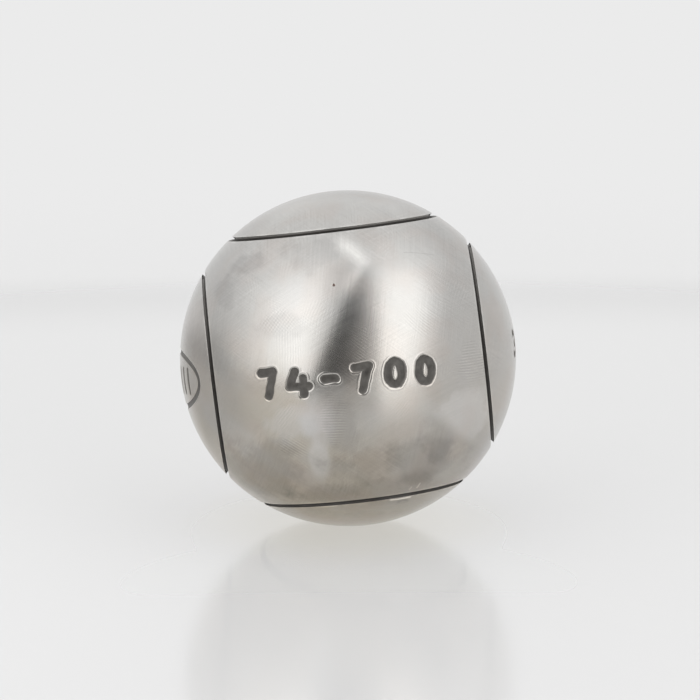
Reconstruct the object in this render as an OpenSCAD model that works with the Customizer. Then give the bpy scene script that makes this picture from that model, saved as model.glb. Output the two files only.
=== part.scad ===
// Petanque boule: two hot-stamped steel half shells, butt-welded round the middle, turned to a
// true sphere and cut with four grooves. The origin is the centre of the sphere. The shells' poles
// and the axis of the weld ring lie along Y; two grooves ring the Z axis and two ring the X axis,
// so a plain square patch is left at the front (-Y) and at the rear (+Y).

/* [Boule] */
// Outside diameter of the finished sphere
boule_d = 74; // [70.5:0.5:80]

/* [Half shells] */
// Wall thickness at the pole of each half shell
pole_wall = 5.55; // [4.6:0.05:6.6]
// Height of the straight skirt that the punch leaves inside each half shell, beside the weld
skirt_h = 1.2; // [0.8:0.1:2]

/* [Weld] */
// Gap between the two root faces, filled by the weld
root_gap = 1; // [0.6:0.1:1.6]
// Height of the square root face at the cavity side of each rim
root_face = 1.6; // [1:0.1:2.4]
// Slope of each bevelled rim, measured from the plane of the weld
bevel_deg = 30; // [22:1:36]
// Width of the bead that the weld leaves inside the cavity
bead_w = 2.2; // [1.8:0.1:3]
// How far that bead stands out of the cavity wall
bead_h = 0.7; // [0.4:0.1:1]

/* [Grooves] */
// Distance from the centre of the sphere to the middle of each groove
groove_offset = 29.2; // [27:0.1:30]
// Width of the grooving tool
groove_w = 0.8; // [0.5:0.05:1.2]
// Height of a groove's lower wall, the one on the side of the cap
groove_depth = 0.55; // [0.3:0.05:0.8]
// Bevel that polishing leaves on both lips of a groove
lip_bevel = 0.08; // [0.04:0.01:0.15]

/* [Hidden] */
// Smoothness of every revolved form
$fn = 180;
// How far a cut runs past the surface that it cuts
cut_over = 0.5;
steel_colour = [0.72, 0.71, 0.69];
weld_colour = [0.62, 0.61, 0.6];

boule_r = boule_d / 2;
// The cavity is a half ball on a short cylinder, as the punch is
cavity_r = boule_r - pole_wall - skirt_h;
// Where the bevel starts, and where it would leave the sphere
bevel_start_r = cavity_r + root_face;
bevel_end_r = boule_r + cut_over;
bevel_end_h = root_gap / 2 + (bevel_end_r - bevel_start_r) * tan(bevel_deg);
// Radius of the arc through the two edges and the crown of the root bead
bead_arc_r = (pow(bead_w / 2, 2) + pow(bead_h, 2)) / (2 * bead_h);

// Radius of the sphere's cross-section at height h
function ring_r(h) = sqrt(pow(boule_r, 2) - pow(h, 2));

// Half of the cavity's section, above the plane of the weld
module cavity_section() {
    intersection() {
        translate([0, skirt_h])
            circle(r = cavity_r);
        translate([0, skirt_h])
            square(boule_r);
    }
    square([cavity_r, skirt_h]);
}

// The slot between the two rims: a parallel root gap, then a V up to the sphere
module rim_slot_section() {
    polygon([
        [0, -root_gap / 2],
        [bevel_start_r, -root_gap / 2],
        [bevel_end_r, -bevel_end_h],
        [bevel_end_r, bevel_end_h],
        [bevel_start_r, root_gap / 2],
        [0, root_gap / 2]
    ]);
}

// Section of one half shell, its pole at the top
module half_shell_section() {
    difference() {
        intersection() {
            circle(r = boule_r);
            square(boule_r);
        }
        cavity_section();
        rim_slot_section();
    }
}

// Section of the weld: the slot filled up to the sphere, with its root bead inside the cavity
module weld_section() {
    difference() {
        intersection() {
            circle(r = boule_r);
            rim_slot_section();
        }
        cavity_section();
        mirror([0, 1])
            cavity_section();
    }
    intersection() {
        translate([cavity_r - bead_h + bead_arc_r, 0])
            circle(r = bead_arc_r);
        union() {
            cavity_section();
            mirror([0, 1])
                cavity_section();
        }
    }
}

// What the grooving tool takes away round the Z axis, with both lips bevelled
module groove_cut() {
    low_h = groove_offset - groove_w / 2;
    high_h = groove_offset + groove_w / 2;
    floor_r = ring_r(high_h) - groove_depth;
    low_wall_end = [ring_r(low_h) - lip_bevel, low_h];
    high_wall_end = [ring_r(high_h) - lip_bevel, high_h];
    // Points one bevel away from each lip, along the sphere
    low_skin = [ring_r(low_h), low_h] + lip_bevel / boule_r * [low_h, -ring_r(low_h)];
    high_skin = [ring_r(high_h), high_h] + lip_bevel / boule_r * [-high_h, ring_r(high_h)];
    run_out = cut_over / lip_bevel;
    rotate_extrude()
        polygon([
            [floor_r, low_h],
            low_wall_end,
            low_skin + run_out * (low_skin - low_wall_end),
            high_skin + run_out * (high_skin - high_wall_end),
            high_wall_end,
            [floor_r, high_h]
        ]);
}

// All four grooves: one round each end of the Z axis and of the X axis
module groove_cuts() {
    for (turn = [0, 90, 180, 270])
        rotate([0, turn, 0])
            groove_cut();
}

// Everything in the boule is revolved about Y, with the section's top towards the front
module turned_about_y() {
    rotate([90, 0, 0])
        rotate_extrude()
            children();
}

module front_half_shell() {
    color(steel_colour)
        difference() {
            turned_about_y()
                half_shell_section();
            groove_cuts();
        }
}

module rear_half_shell() {
    color(steel_colour)
        difference() {
            mirror([0, 1, 0])
                turned_about_y()
                    half_shell_section();
            groove_cuts();
        }
}

module weld_ring() {
    color(weld_colour)
        difference() {
            turned_about_y()
                weld_section();
            groove_cuts();
        }
}

front_half_shell();
rear_half_shell();
weld_ring();
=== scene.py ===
# %% [markdown]
# # A petanque boule in satin steel
# The real ball is two stamped steel half shells, welded round the middle, turned to a true sphere,
# grooved, stamped with plain numbers, hardened and polished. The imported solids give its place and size.
# Here the same three pieces get a finer outside: rolled lips on the grooves, hand-stamped marks and a
# polished finish.

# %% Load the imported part
import math

import bmesh
import bpy
import numpy as np
from mathutils import Matrix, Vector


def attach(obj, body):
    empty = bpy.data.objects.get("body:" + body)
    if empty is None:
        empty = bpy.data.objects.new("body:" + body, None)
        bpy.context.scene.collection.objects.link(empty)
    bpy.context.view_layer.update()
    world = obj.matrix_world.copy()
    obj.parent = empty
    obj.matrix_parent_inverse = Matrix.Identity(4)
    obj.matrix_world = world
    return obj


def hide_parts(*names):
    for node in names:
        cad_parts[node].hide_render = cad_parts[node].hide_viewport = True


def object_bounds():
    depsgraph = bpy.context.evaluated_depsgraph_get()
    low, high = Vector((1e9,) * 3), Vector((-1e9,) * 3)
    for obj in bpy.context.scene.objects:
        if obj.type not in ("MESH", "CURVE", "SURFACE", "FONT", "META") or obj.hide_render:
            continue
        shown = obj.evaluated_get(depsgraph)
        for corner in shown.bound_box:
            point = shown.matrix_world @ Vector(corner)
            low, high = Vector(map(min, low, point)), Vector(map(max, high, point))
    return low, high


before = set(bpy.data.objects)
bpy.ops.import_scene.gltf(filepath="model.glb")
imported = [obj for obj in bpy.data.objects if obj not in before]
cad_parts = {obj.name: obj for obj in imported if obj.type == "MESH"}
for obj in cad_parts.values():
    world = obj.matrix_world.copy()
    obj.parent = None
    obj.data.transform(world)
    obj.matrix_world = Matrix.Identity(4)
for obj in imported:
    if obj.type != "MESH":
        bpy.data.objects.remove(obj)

CAD_LOW, CAD_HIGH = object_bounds()
print("packed nodes:", sorted(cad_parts), "box:", list(CAD_LOW), list(CAD_HIGH))

# %% [markdown]
# ## Sizes
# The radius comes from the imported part. The other sizes are the ones the solids are built to, in metres,
# so that each new surface lies where its solid lies. The ball's centre is the origin, its weld lies in
# the plane y = 0, two grooves ring the z axis and two ring the x axis.

# %% Sizes of the ball
MM = 0.001
BALL_R = (CAD_HIGH.y - CAD_LOW.y) / 2
POLE_WALL = 5.55 * MM
SKIRT_H = 1.2 * MM
ROOT_GAP = 1.0 * MM
ROOT_FACE = 1.6 * MM
BEVEL_DEG = 30
BEVEL_SLOPE = math.tan(math.radians(BEVEL_DEG))
BEAD_W = 2.2 * MM
BEAD_H = 0.7 * MM
GROOVE_OFFSET = 29.2 * MM
GROOVE_W = 0.8 * MM
GROOVE_DEPTH = 0.55 * MM
LIP = 0.14 * MM
MERGE_WITHIN = 0.001 * MM
CAVITY_R = BALL_R - POLE_WALL - SKIRT_H
ROOT_R = CAVITY_R + ROOT_FACE
FRONT = np.array([0.0, -1.0, 0.0])
RIGHT = np.array([1.0, 0.0, 0.0])
TOP = np.array([0.0, 0.0, 1.0])
print("ball radius", BALL_R, "cavity radius", CAVITY_R)

# %% [markdown]
# ## From arrays to a closed mesh
# Every surface here is a grid of points worked out with numpy. A piece is a handful of such grids that
# share their edges. The collector below keeps them apart until the end, then merges the shared points. It
# also keeps the true normal of every surface, because a polished ball shows the smallest kink in its
# reflections.


# %% Grids, joints between uneven edges, and the collector
def unit(vectors):
    """Vectors divided by their own length."""
    return vectors / np.linalg.norm(vectors, axis=-1, keepdims=True)


def grid_faces(rows, columns):
    """Quads of a grid: corner (i, j) is joined to (i + 1, j), (i + 1, j + 1) and (i, j + 1)."""
    i, j = np.meshgrid(np.arange(rows - 1), np.arange(columns - 1), indexing="ij")
    corner = (i * columns + j).ravel()
    return np.stack([corner, corner + columns, corner + columns + 1, corner + 1], 1)


def zip_faces(low, high):
    """Triangles between two edges with unlike numbers of points. low and high say how far along its edge
    each point lies. Each step of one edge gets a triangle to the point that the other edge has reached by
    then."""
    low_mid, high_mid = (low[1:] + low[:-1]) / 2, (high[1:] + high[:-1]) / 2
    i, j = np.arange(len(low_mid)), np.arange(len(high_mid))
    from_low = np.stack([i, i + 1, len(low) + np.searchsorted(high_mid, low_mid)], 1)
    reached = np.searchsorted(low_mid, high_mid, side="right")
    from_high = np.stack([len(low) + j + 1, len(low) + j, reached], 1)
    return np.concatenate([from_low, from_high])


class Piece:
    """The surfaces of one piece of the ball, joined at the end into one closed mesh."""

    def __init__(self):
        self.points, self.normals, self.faces, self.count = [], [], [], 0

    def add(self, points, normals, faces):
        """Keeps a surface. Its faces count its points on from those kept before."""
        self.faces += (faces + self.count).tolist()
        self.points.append(points.reshape(-1, 3))
        self.normals.append(np.broadcast_to(normals, points.shape).reshape(-1, 3))
        self.count += points.size // 3

    def add_grid(self, points, normals):
        """Keeps a grid of points, joined by quads."""
        self.add(points, normals, grid_faces(*points.shape[:2]))

    def make(self, name):
        """Merges points that share a place, turns all faces outwards and sets the true normals."""
        mesh = bpy.data.meshes.new(name)
        mesh.from_pydata(np.concatenate(self.points), [], self.faces)
        corner_vertex = np.empty(len(mesh.loops), np.int32)
        mesh.loops.foreach_get("vertex_index", corner_vertex)
        kept = mesh.attributes.new("true_normal", "FLOAT_VECTOR", "CORNER")
        corner_normal = np.concatenate(self.normals)[corner_vertex]
        kept.data.foreach_set("vector", corner_normal.astype(np.float32).ravel())
        work = bmesh.new()
        work.from_mesh(mesh)
        bmesh.ops.remove_doubles(work, verts=work.verts, dist=MERGE_WITHIN)
        bmesh.ops.recalc_face_normals(work, faces=work.faces)
        open_edges = sum(not edge.is_manifold for edge in work.edges)
        work.to_mesh(mesh)
        work.free()
        mesh.shade_smooth()
        normals = np.empty(len(mesh.loops) * 3, np.float32)
        mesh.attributes["true_normal"].data.foreach_get("vector", normals)
        mesh.normals_split_custom_set(normals.reshape(-1, 3))
        mesh.attributes.remove(mesh.attributes["true_normal"])
        piece = bpy.data.objects.new(name, mesh)
        bpy.context.scene.collection.objects.link(piece)
        sides = np.empty(len(mesh.polygons), np.int32)
        mesh.polygons.foreach_get("loop_total", sides)
        print(name, "triangles:", int((sides - 2).sum()), "open edges:", open_edges)
        return piece


# %% [markdown]
# ## The stamped marks
# Each character on the real ball is struck with a punch whose stroke is a rounded bar, before hardening.
# The scale stays dark in the bottom of each stroke and the polishing wheel rolls its edges over. So a
# character here is a set of lines, and the depth of the mark follows from the distance to the nearest
# line. The marks are plain: the ball's diameter in millimetres and its weight in grams at the front, a
# set number on the right, and an oval round eight upright strokes on the left.


# %% Characters as lines, in shares of their height
ARC_POINTS = 17
OVAL_POINTS = 97
TIP_STEP = 2.4
TIP_START = 1.0
SHIFT_STEP = 3.7


def arc_line(centre_x, centre_y, half_w, half_h, start_deg, end_deg, count=ARC_POINTS):
    """Points on an ellipse between two angles."""
    angle = np.radians(np.linspace(start_deg, end_deg, count))
    return np.stack([centre_x + half_w * np.cos(angle), centre_y + half_h * np.sin(angle)], 1)


CHARACTER_SHARES = {
    "0": [arc_line(0, 0, 0.32, 0.5, 0, 360)],
    "3": [arc_line(-0.04, 0.25, 0.27, 0.25, 140, -90), arc_line(-0.04, -0.25, 0.3, 0.25, 90, -140)],
    "4": [[(-0.14, 0.5), (-0.4, -0.16), (0.42, -0.16)], [(0.22, 0.2), (0.2, -0.5)]],
    "7": [[(-0.32, 0.5), (0.3, 0.5), (-0.08, -0.5)]],
    "-": [[(-0.24, 0), (0.24, 0)]],
    "|": [[(0, -0.5), (0, 0.5)]],
}
print("characters:", list(CHARACTER_SHARES))


def word_lines(word, pitch, height, sway=0.0):
    """Start and end points of every line of a word, (x, y, x, y), centred on the origin. sway tips and
    shifts each character a little, as a hand-held punch does."""
    lines = []
    for place, character in enumerate(word):
        tip = sway * math.sin(TIP_STEP * place + TIP_START)
        along = (place - (len(word) - 1) / 2) * pitch
        shift = np.array([along, sway * height * math.sin(SHIFT_STEP * place)])
        turn = np.array([[math.cos(tip), -math.sin(tip)], [math.sin(tip), math.cos(tip)]])
        for line in CHARACTER_SHARES[character]:
            line = np.array(line) * height @ turn.T + shift
            lines.append(np.concatenate([line[:-1], line[1:]], 1))
    return np.concatenate(lines)


def oval(half_w, half_h):
    """Lines round an ellipse."""
    line = arc_line(0, 0, half_w, half_h, 0, 360, OVAL_POINTS)
    return np.concatenate([line[:-1], line[1:]], 1)


# %% The marks, each with its place on the ball
FRONT_DROP = 1.53 * MM
MARKS = [
    {"facing": FRONT, "right": RIGHT, "middle": (-0.74 * MM, -FRONT_DROP), "reach": (23 * MM, 5 * MM),
     "lines": word_lines("74-700", 6.92 * MM, 4.9 * MM, 0.05), "turn": math.radians(-1.45),
     "half_w": 1.05 * MM, "depth": 0.42 * MM, "wobble": 0.14 * MM},
    {"facing": RIGHT, "right": -FRONT, "middle": (-0.4 * MM, -0.6 * MM), "reach": (9 * MM, 4.6 * MM),
     "lines": word_lines("347", 5.2 * MM, 5.0 * MM, 0.03), "turn": 0.0,
     "half_w": 0.75 * MM, "depth": 0.32 * MM, "wobble": 0.06 * MM},
    {"facing": -RIGHT, "right": FRONT, "middle": (0.0, 0.0), "reach": (19.6 * MM, 6.9 * MM),
     "lines": oval(18.3 * MM, 6.2 * MM), "turn": 0.0,
     "half_w": 0.7 * MM, "depth": 0.24 * MM, "wobble": 0.0},
    {"facing": -RIGHT, "right": FRONT, "middle": (0.0, 0.0), "reach": (19.6 * MM, 6.9 * MM),
     "lines": word_lines("||||||||", 3.5 * MM, 5.0 * MM), "turn": 0.0,
     "half_w": 0.6 * MM, "depth": 0.25 * MM, "wobble": 0.04 * MM},
]
WOBBLE_CLOSE = (1.9 / MM, 2.3 / MM)
WOBBLE_WIDE = (0.8 / MM, -1.1 / MM)
WOBBLE_START = 0.6
WALL_SHARE = 0.6
EDGE_ROLL = 0.1 * MM
WALL_DEPTH_SHARE = 0.82
BURR_SHARE = 0.05
BURR_OUT = 0.28 * MM
BURR_W = 0.16 * MM
print("lines in the marks:", [len(mark["lines"]) for mark in MARKS])


# %% Depth and slope of the marks
SLOPE_STEP = 0.02 * MM
UPRIGHT = 0.9


def line_distance(x, y, lines):
    """Distance from each point to the nearest line: the point is dropped square onto every line, no
    further than its ends, and the shortest drop is kept."""
    start, along = lines[:, :2], lines[:, 2:] - lines[:, :2]
    from_x, from_y = x[:, None] - start[:, 0], y[:, None] - start[:, 1]
    share = np.clip((from_x * along[:, 0] + from_y * along[:, 1]) / (along**2).sum(1), 0, 1)
    return np.hypot(from_x - share * along[:, 0], from_y - share * along[:, 1]).min(1)


def smooth(share):
    """An S-curve from 0 to 1."""
    share = np.clip(share, 0, 1)
    return share * share * (3 - 2 * share)


def wobble(x, y):
    """Waves from -1 to 1 over a mark, half of them close and half wide: a struck stroke is never quite
    even."""
    close = np.sin(WOBBLE_CLOSE[0] * x + WOBBLE_START) * np.sin(WOBBLE_CLOSE[1] * y)
    return (close + np.sin(WOBBLE_WIDE[0] * x + WOBBLE_WIDE[1] * y)) / 2


def mark_height(direction):
    """How far the marks lie below (-) or above (+) the sphere in each direction. Inside a line the metal
    is pressed down, most in the middle; the edge rolls over; a low burr stands just outside an uneven
    stroke."""
    height = np.zeros(len(direction))
    for mark in MARKS:
        up = np.cross(mark["right"], -mark["facing"])
        x = BALL_R * np.arctan2(direction @ mark["right"], direction @ mark["facing"]) - mark["middle"][0]
        y = BALL_R * np.arcsin(np.clip(direction @ up, -1, 1)) - mark["middle"][1]
        near = (abs(x) < mark["reach"][0]) & (abs(y) < mark["reach"][1])
        x, y = x[near], y[near]
        cos, sin = math.cos(mark["turn"]), math.sin(mark["turn"])
        x, y = x * cos + y * sin, y * cos - x * sin
        inside = mark["half_w"] + mark["wobble"] * wobble(x, y) - line_distance(x, y, mark["lines"])
        wall = smooth((inside + EDGE_ROLL) / (WALL_SHARE * mark["half_w"]))
        floor = WALL_DEPTH_SHARE + (1 - WALL_DEPTH_SHARE) * smooth(inside / mark["half_w"])
        height[near] -= mark["depth"] * wall * floor
        if mark["wobble"]:
            height[near] += BURR_SHARE * mark["depth"] * np.exp(-(((inside + BURR_OUT) / BURR_W) ** 2))
    return height


def skin(points):
    """The finished outside at points of the sphere: each moves along its radius by the marks' height, and
    its normal leans against the slope of that height."""
    direction = unit(points.reshape(-1, 3))
    across = unit(np.cross(direction, np.where(abs(direction[:, 2:]) < UPRIGHT, TOP, RIGHT)))
    normal = direction.copy()
    for side in (across, np.cross(direction, across)):
        ahead = mark_height(unit(direction + side * SLOPE_STEP / BALL_R))
        behind = mark_height(unit(direction - side * SLOPE_STEP / BALL_R))
        normal -= side * ((ahead - behind) / (2 * SLOPE_STEP))[:, None]
    placed = direction * (BALL_R + mark_height(direction))[:, None]
    return placed.reshape(points.shape), unit(normal).reshape(points.shape)


print("deepest mark:", max(mark["depth"] for mark in MARKS), "m")

# %% [markdown]
# ## Where the surfaces meet
# The outside is cut into patches along the grooves and along the two edges of the weld. Four caps ring
# the ball, each with its own axis. Between them lie the front and rear fields, and narrow bridges at the
# corners.


# %% Caps, groove section and weld edge
CAPS = [(TOP, RIGHT), (RIGHT, -TOP), (-TOP, -RIGHT), (-RIGHT, TOP)]
PLAIN_BLOCK = {"half_s": 7 * MM, "reach_f": 12 * MM, "steps_s": 18, "steps_f": 10}
BLOCKS = [
    PLAIN_BLOCK,
    {"half_s": 4.6 * MM, "reach_f": 9.5 * MM, "steps_s": 72, "steps_f": 48},
    PLAIN_BLOCK,
    {"half_s": 7 * MM, "reach_f": 20 * MM, "steps_s": 108, "steps_f": 128},
]
STEPS_OUT = 9
STEPS_WELD = 50
STEPS_BRIDGE = 16
STEPS_FIELD = 15
STEPS_LIP = 5
STEPS_BOWL = 12
STEPS_BEAD = 12
SETTLE_ROUNDS = 12


def ring_r(h):
    """Radius of the sphere's cross-section at height h."""
    return np.sqrt(BALL_R**2 - h**2)


def weld_edge(rho, h):
    """Distance of the weld's edge from the plane y = 0, on the circle of radius rho at height h of a
    groove's axis. The bevel is a cone, so its y grows with the distance from the y axis; a few rounds
    settle it."""
    y = np.full(np.shape(rho), ROOT_GAP / 2)
    for _ in range(SETTLE_ROUNDS):
        y = ROOT_GAP / 2 + (np.sqrt(rho**2 + h**2 - y**2) - ROOT_R) * BEVEL_SLOPE
    return y


def lip_curve(skin_point, corner, wall_point):
    """A rolled lip: a curve that leaves the sphere, heads for the sharp corner and bends down the wall.
    Gives its points (rho, h) and its outward normals."""
    t = np.linspace(0, 1, STEPS_LIP + 1)[:, None]
    points = (1 - t) ** 2 * skin_point + 2 * t * (1 - t) * corner + t**2 * wall_point
    tangent = unit((1 - t) * (corner - skin_point) + t * (wall_point - corner))
    normal = np.stack([tangent[:, 1], -tangent[:, 0]], 1)
    return points, normal * np.sign((normal * skin_point).sum(1, keepdims=True)[:1])


def groove_section():
    """Strips of the groove's section from the field to the cap, each as points (rho, h) and normals."""
    low_h, high_h = GROOVE_OFFSET - GROOVE_W / 2, GROOVE_OFFSET + GROOVE_W / 2
    floor_r = ring_r(high_h) - GROOVE_DEPTH
    low_angle = math.acos(low_h / BALL_R) + LIP / BALL_R
    high_angle = math.acos(high_h / BALL_R) - LIP / BALL_R
    skins = [BALL_R * np.array([math.sin(a), math.cos(a)]) for a in (low_angle, high_angle)]
    corners = [np.array([ring_r(h), h]) for h in (low_h, high_h)]
    walls = [corner - np.array([LIP, 0]) for corner in corners]
    floors = [np.array([floor_r, h]) for h in (low_h, high_h)]
    low_lip = lip_curve(skins[0], corners[0], walls[0])
    high_lip = [part[::-1] for part in lip_curve(skins[1], corners[1], walls[1])]
    return {
        "low lip": low_lip,
        "low wall": (np.array([walls[0], floors[0]]), np.array([[0, 1.0], [0, 1.0]])),
        "floor": (np.array(floors), np.array([[1.0, 0], [1.0, 0]])),
        "high wall": (np.array([floors[1], walls[1]]), np.array([[0, -1.0], [0, -1.0]])),
        "high lip": high_lip,
    }


SECTION = groove_section()
FIELD_RIM = SECTION["low lip"][0][0]
CAP_RIM = SECTION["high lip"][0][-1]
EDGE_Y = float(weld_edge(BALL_R, 0.0))
EDGE_R = math.sqrt(BALL_R**2 - EDGE_Y**2)
print("weld edge at y =", EDGE_Y, "groove floor radius", SECTION["floor"][0][0, 0])


def spread(cap, pole, f, s):
    """Points of the sphere over a cap: f towards the pole of the half, s along the weld, both in
    metres."""
    axis, side = cap
    f, s = np.broadcast_arrays(f, s)
    rise = np.sqrt(BALL_R**2 - f**2 - s**2)
    return rise[..., None] * axis + s[..., None] * side + f[..., None] * pole


def seam_places(block, f):
    """Distances s across a cap at distance f from the middle of the weld: even steps in the block of
    marks, then even steps out to the groove, whose edge is a circle."""
    end = np.sqrt(CAP_RIM[0] ** 2 - np.asarray(f)[..., None] ** 2)
    out = block["half_s"] + (end - block["half_s"]) * np.linspace(0, 1, STEPS_OUT + 1)
    middle = np.linspace(-block["half_s"], block["half_s"], block["steps_s"] + 1)[1:-1]
    middle = np.broadcast_to(middle, (*end.shape[:-1], len(middle)))
    return np.concatenate([-out[..., ::-1], middle, out], -1)


# %% [markdown]
# ## The outside of a half shell
# A cap's half is a fine block of squares for the marks, and a fan of lines from that block out to the
# groove. The field is built the same way round the front block. A groove is its section carried along the
# arc, and where the two sides have unlike numbers of points, triangles join them on its dark floor.


# %% Caps and grooves of a half
def add_half_cap(piece, cap, block, pole):
    """Adds one half of a cap. The block is a plain grid. The fan joins the block's three free sides to
    the groove's edge, point by point, in straight lines seen along the cap's axis. Gives the edge's
    places as shares of the half arc, from -1 to 1."""
    half_s, reach_f = block["half_s"], block["reach_f"]
    f = np.linspace(EDGE_Y, reach_f, block["steps_f"] + 1)
    s = np.linspace(-half_s, half_s, block["steps_s"] + 1)
    piece.add_grid(*skin(spread(cap, pole, f[:, None], s[None, :])))
    inner_f = np.concatenate([f, np.full(len(s) - 2, reach_f), f[::-1]])
    inner_s = np.concatenate([np.full(len(f), -half_s), s[1:-1], np.full(len(f), half_s)])
    end = math.acos(EDGE_Y / CAP_RIM[0])
    corner = math.atan2(half_s, reach_f)
    side_turn = np.linspace(end, corner, len(f))
    angle = np.concatenate([-side_turn, np.linspace(-corner, corner, len(s))[1:-1], side_turn[::-1]])
    share = np.linspace(0, 1, STEPS_OUT + 1)[:, None]
    fan_f = inner_f * (1 - share) + CAP_RIM[0] * np.cos(angle) * share
    fan_s = inner_s * (1 - share) + CAP_RIM[0] * np.sin(angle) * share
    piece.add_grid(*skin(spread(cap, pole, fan_f, fan_s)))
    return angle / end


def add_half_groove(piece, cap, pole, field_shares, cap_shares):
    """Adds one half of a groove: every point of the section runs along its circle, from one edge of the
    weld to the other."""
    axis, side = cap
    for name, (points, normals) in SECTION.items():
        rho, h = points.T
        end = np.arccos(weld_edge(rho, h) / rho)
        rows = []
        for shares, row in ((field_shares, 0), (cap_shares, -1)) if name == "floor" else ():
            angle = shares * end[row]
            out = np.cos(angle)[:, None] * pole + np.sin(angle)[:, None] * side
            rows.append((h[row] * axis + rho[row] * out, out))
        if rows:
            joined = np.concatenate([rows[0][0], rows[1][0]]), np.concatenate([rows[0][1], rows[1][1]])
            piece.add(*joined, zip_faces(field_shares, cap_shares))
            continue
        angle = (field_shares if name.startswith("low") else cap_shares) * end[:, None]
        out = np.cos(angle)[..., None] * pole + np.sin(angle)[..., None] * side
        placed = h[:, None, None] * axis + rho[:, None, None] * out
        piece.add_grid(placed, normals[:, 0, None, None] * out + normals[:, 1, None, None] * axis)


print("strips of a groove:", list(SECTION))


# %% The field between the four grooves
def arcs_between(inner, outer, pole, steps):
    """Arcs on the sphere that look straight from the pole: each lies in the plane through its two ends
    that is parallel to the pole axis, and its points are evenly spread over the angle in that plane."""
    ahead = outer - inner
    ahead = unit(ahead - (ahead @ pole)[:, None] * pole)
    square = np.cross(pole, ahead)
    off = (inner * square).sum(-1)
    ring = np.sqrt(BALL_R**2 - off**2)[:, None]
    start, end = (np.arctan2((points * ahead).sum(-1), points @ pole) for points in (inner, outer))
    angle = start + (end - start) * np.linspace(0, 1, steps + 1)[:, None]
    turned = np.sin(angle)[..., None] * ahead + np.cos(angle)[..., None] * pole
    return off[:, None] * square + ring * turned


def add_field(piece, pole, half_x, half_z, drop, steps_x, steps_z):
    """Adds the field round one pole: a block in longitude and latitude, and four fans from its sides to
    the grooves' edges and halfway round the bridges at the corners. Gives each side's number of steps."""
    longitude = np.linspace(-half_x, half_x, steps_x + 1) / BALL_R
    latitude = (np.linspace(-half_z, half_z, steps_z + 1) - drop) / BALL_R
    level = np.cos(latitude)[:, None, None] * (
        np.cos(longitude)[:, None] * pole + np.sin(longitude)[:, None] * RIGHT
    )
    block = BALL_R * (level + np.sin(latitude)[:, None, None] * TOP)
    piece.add_grid(*skin(block))
    sides = [block[-1], block[::-1, -1], block[0, ::-1], block[:, 0]]
    bridge_end = math.acos(FIELD_RIM[1] / EDGE_R)
    bridge = np.linspace(bridge_end, math.pi / 2 - bridge_end, STEPS_BRIDGE + 1)
    half = STEPS_BRIDGE // 2
    shares = []
    for (axis, side), inner in zip(CAPS, sides):
        share = np.linspace(-1, 1, len(inner) - STEPS_BRIDGE)
        angle = share * math.acos(EDGE_Y / FIELD_RIM[0])
        out = np.cos(angle)[:, None] * pole + np.sin(angle)[:, None] * side
        arc = FIELD_RIM[1] * axis + FIELD_RIM[0] * out
        corner = EDGE_Y * pole + EDGE_R * (np.cos(bridge)[:, None] * axis + np.sin(bridge)[:, None] * side)
        before = corner - 2 * (corner @ side)[:, None] * side
        outer = np.concatenate([before[::-1][half:-1], arc, corner[1 : half + 1]])
        piece.add_grid(*skin(arcs_between(inner, outer, pole, STEPS_FIELD)))
        shares.append(share)
    return shares


print("steps from a field's block out to its grooves:", STEPS_FIELD)

# %% [markdown]
# ## The weld's edge and the inside
# The outside of each half shell ends in a closed loop of points at the weld. From there the bevel slopes
# down to the root face, and the cavity behind it is the shape of the punch: a short skirt and a half
# ball. The weld's faces are worked out from the same loop, so the pieces meet face to face, as the solids
# do.


# %% The loop at the weld's edge
def section_outline():
    """All points of the groove's section in order, from the field to the cap, each once."""
    points = np.concatenate([points for points, _ in SECTION.values()])
    fresh = np.linalg.norm(np.diff(points, axis=0), axis=1) > MERGE_WITHIN
    return points[np.concatenate([[True], fresh])]


def weld_loop(pole):
    """The closed loop round the ball at one edge of the weld, with the marks pressed in, and the angle
    round the y axis that each of its points is carried to at the root: its share of the loop's length."""
    rho, h = section_outline().T
    y = weld_edge(rho, h)
    s = np.sqrt(rho**2 - y**2)
    bridge_end = math.acos(FIELD_RIM[1] / EDGE_R)
    bridge = np.linspace(bridge_end, math.pi / 2 - bridge_end, STEPS_BRIDGE + 1)[:, None]
    parts = []
    for cap, block in zip(CAPS, BLOCKS):
        axis, side = cap
        into = h[:, None] * axis - s[:, None] * side + y[:, None] * pole
        out = into + 2 * s[:, None] * side
        over = spread(cap, pole, np.array(EDGE_Y), seam_places(block, np.array(EDGE_Y)))
        past = EDGE_Y * pole + EDGE_R * (np.cos(bridge) * axis + np.sin(bridge) * side)
        parts += [(into[:-1], into[:-1]), (over[:-1], skin(over)[0][:-1]), (out[:0:-1], out[:0:-1])]
        parts += [(past[:-1], skin(past)[0][:-1])]
    plain, marked = (np.concatenate([part[i] for part in parts]) for i in (0, 1))
    steps = np.linalg.norm(np.roll(plain, -1, 0) - plain, axis=1)
    first = math.atan2(plain[0] @ RIGHT, plain[0] @ TOP)
    angle = first + 2 * math.pi * np.concatenate([[0], np.cumsum(steps)]) / steps.sum()
    return np.concatenate([marked, marked[:1]]), angle


def round_y(angle):
    """Unit vectors square to the y axis, at angles from the top towards the right."""
    return np.cos(angle)[:, None] * TOP + np.sin(angle)[:, None] * RIGHT


def add_turned(piece, pole, angle, section, normals):
    """Adds a surface of revolution: each point (radius, distance towards the pole) goes round the y
    axis."""
    out = round_y(angle)
    section, normals = np.array(section), np.array(normals, float)
    placed = section[:, 0, None, None] * out + section[:, 1, None, None] * pole
    piece.add_grid(placed, normals[:, 0, None, None] * out + normals[:, 1, None, None] * pole)


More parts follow.
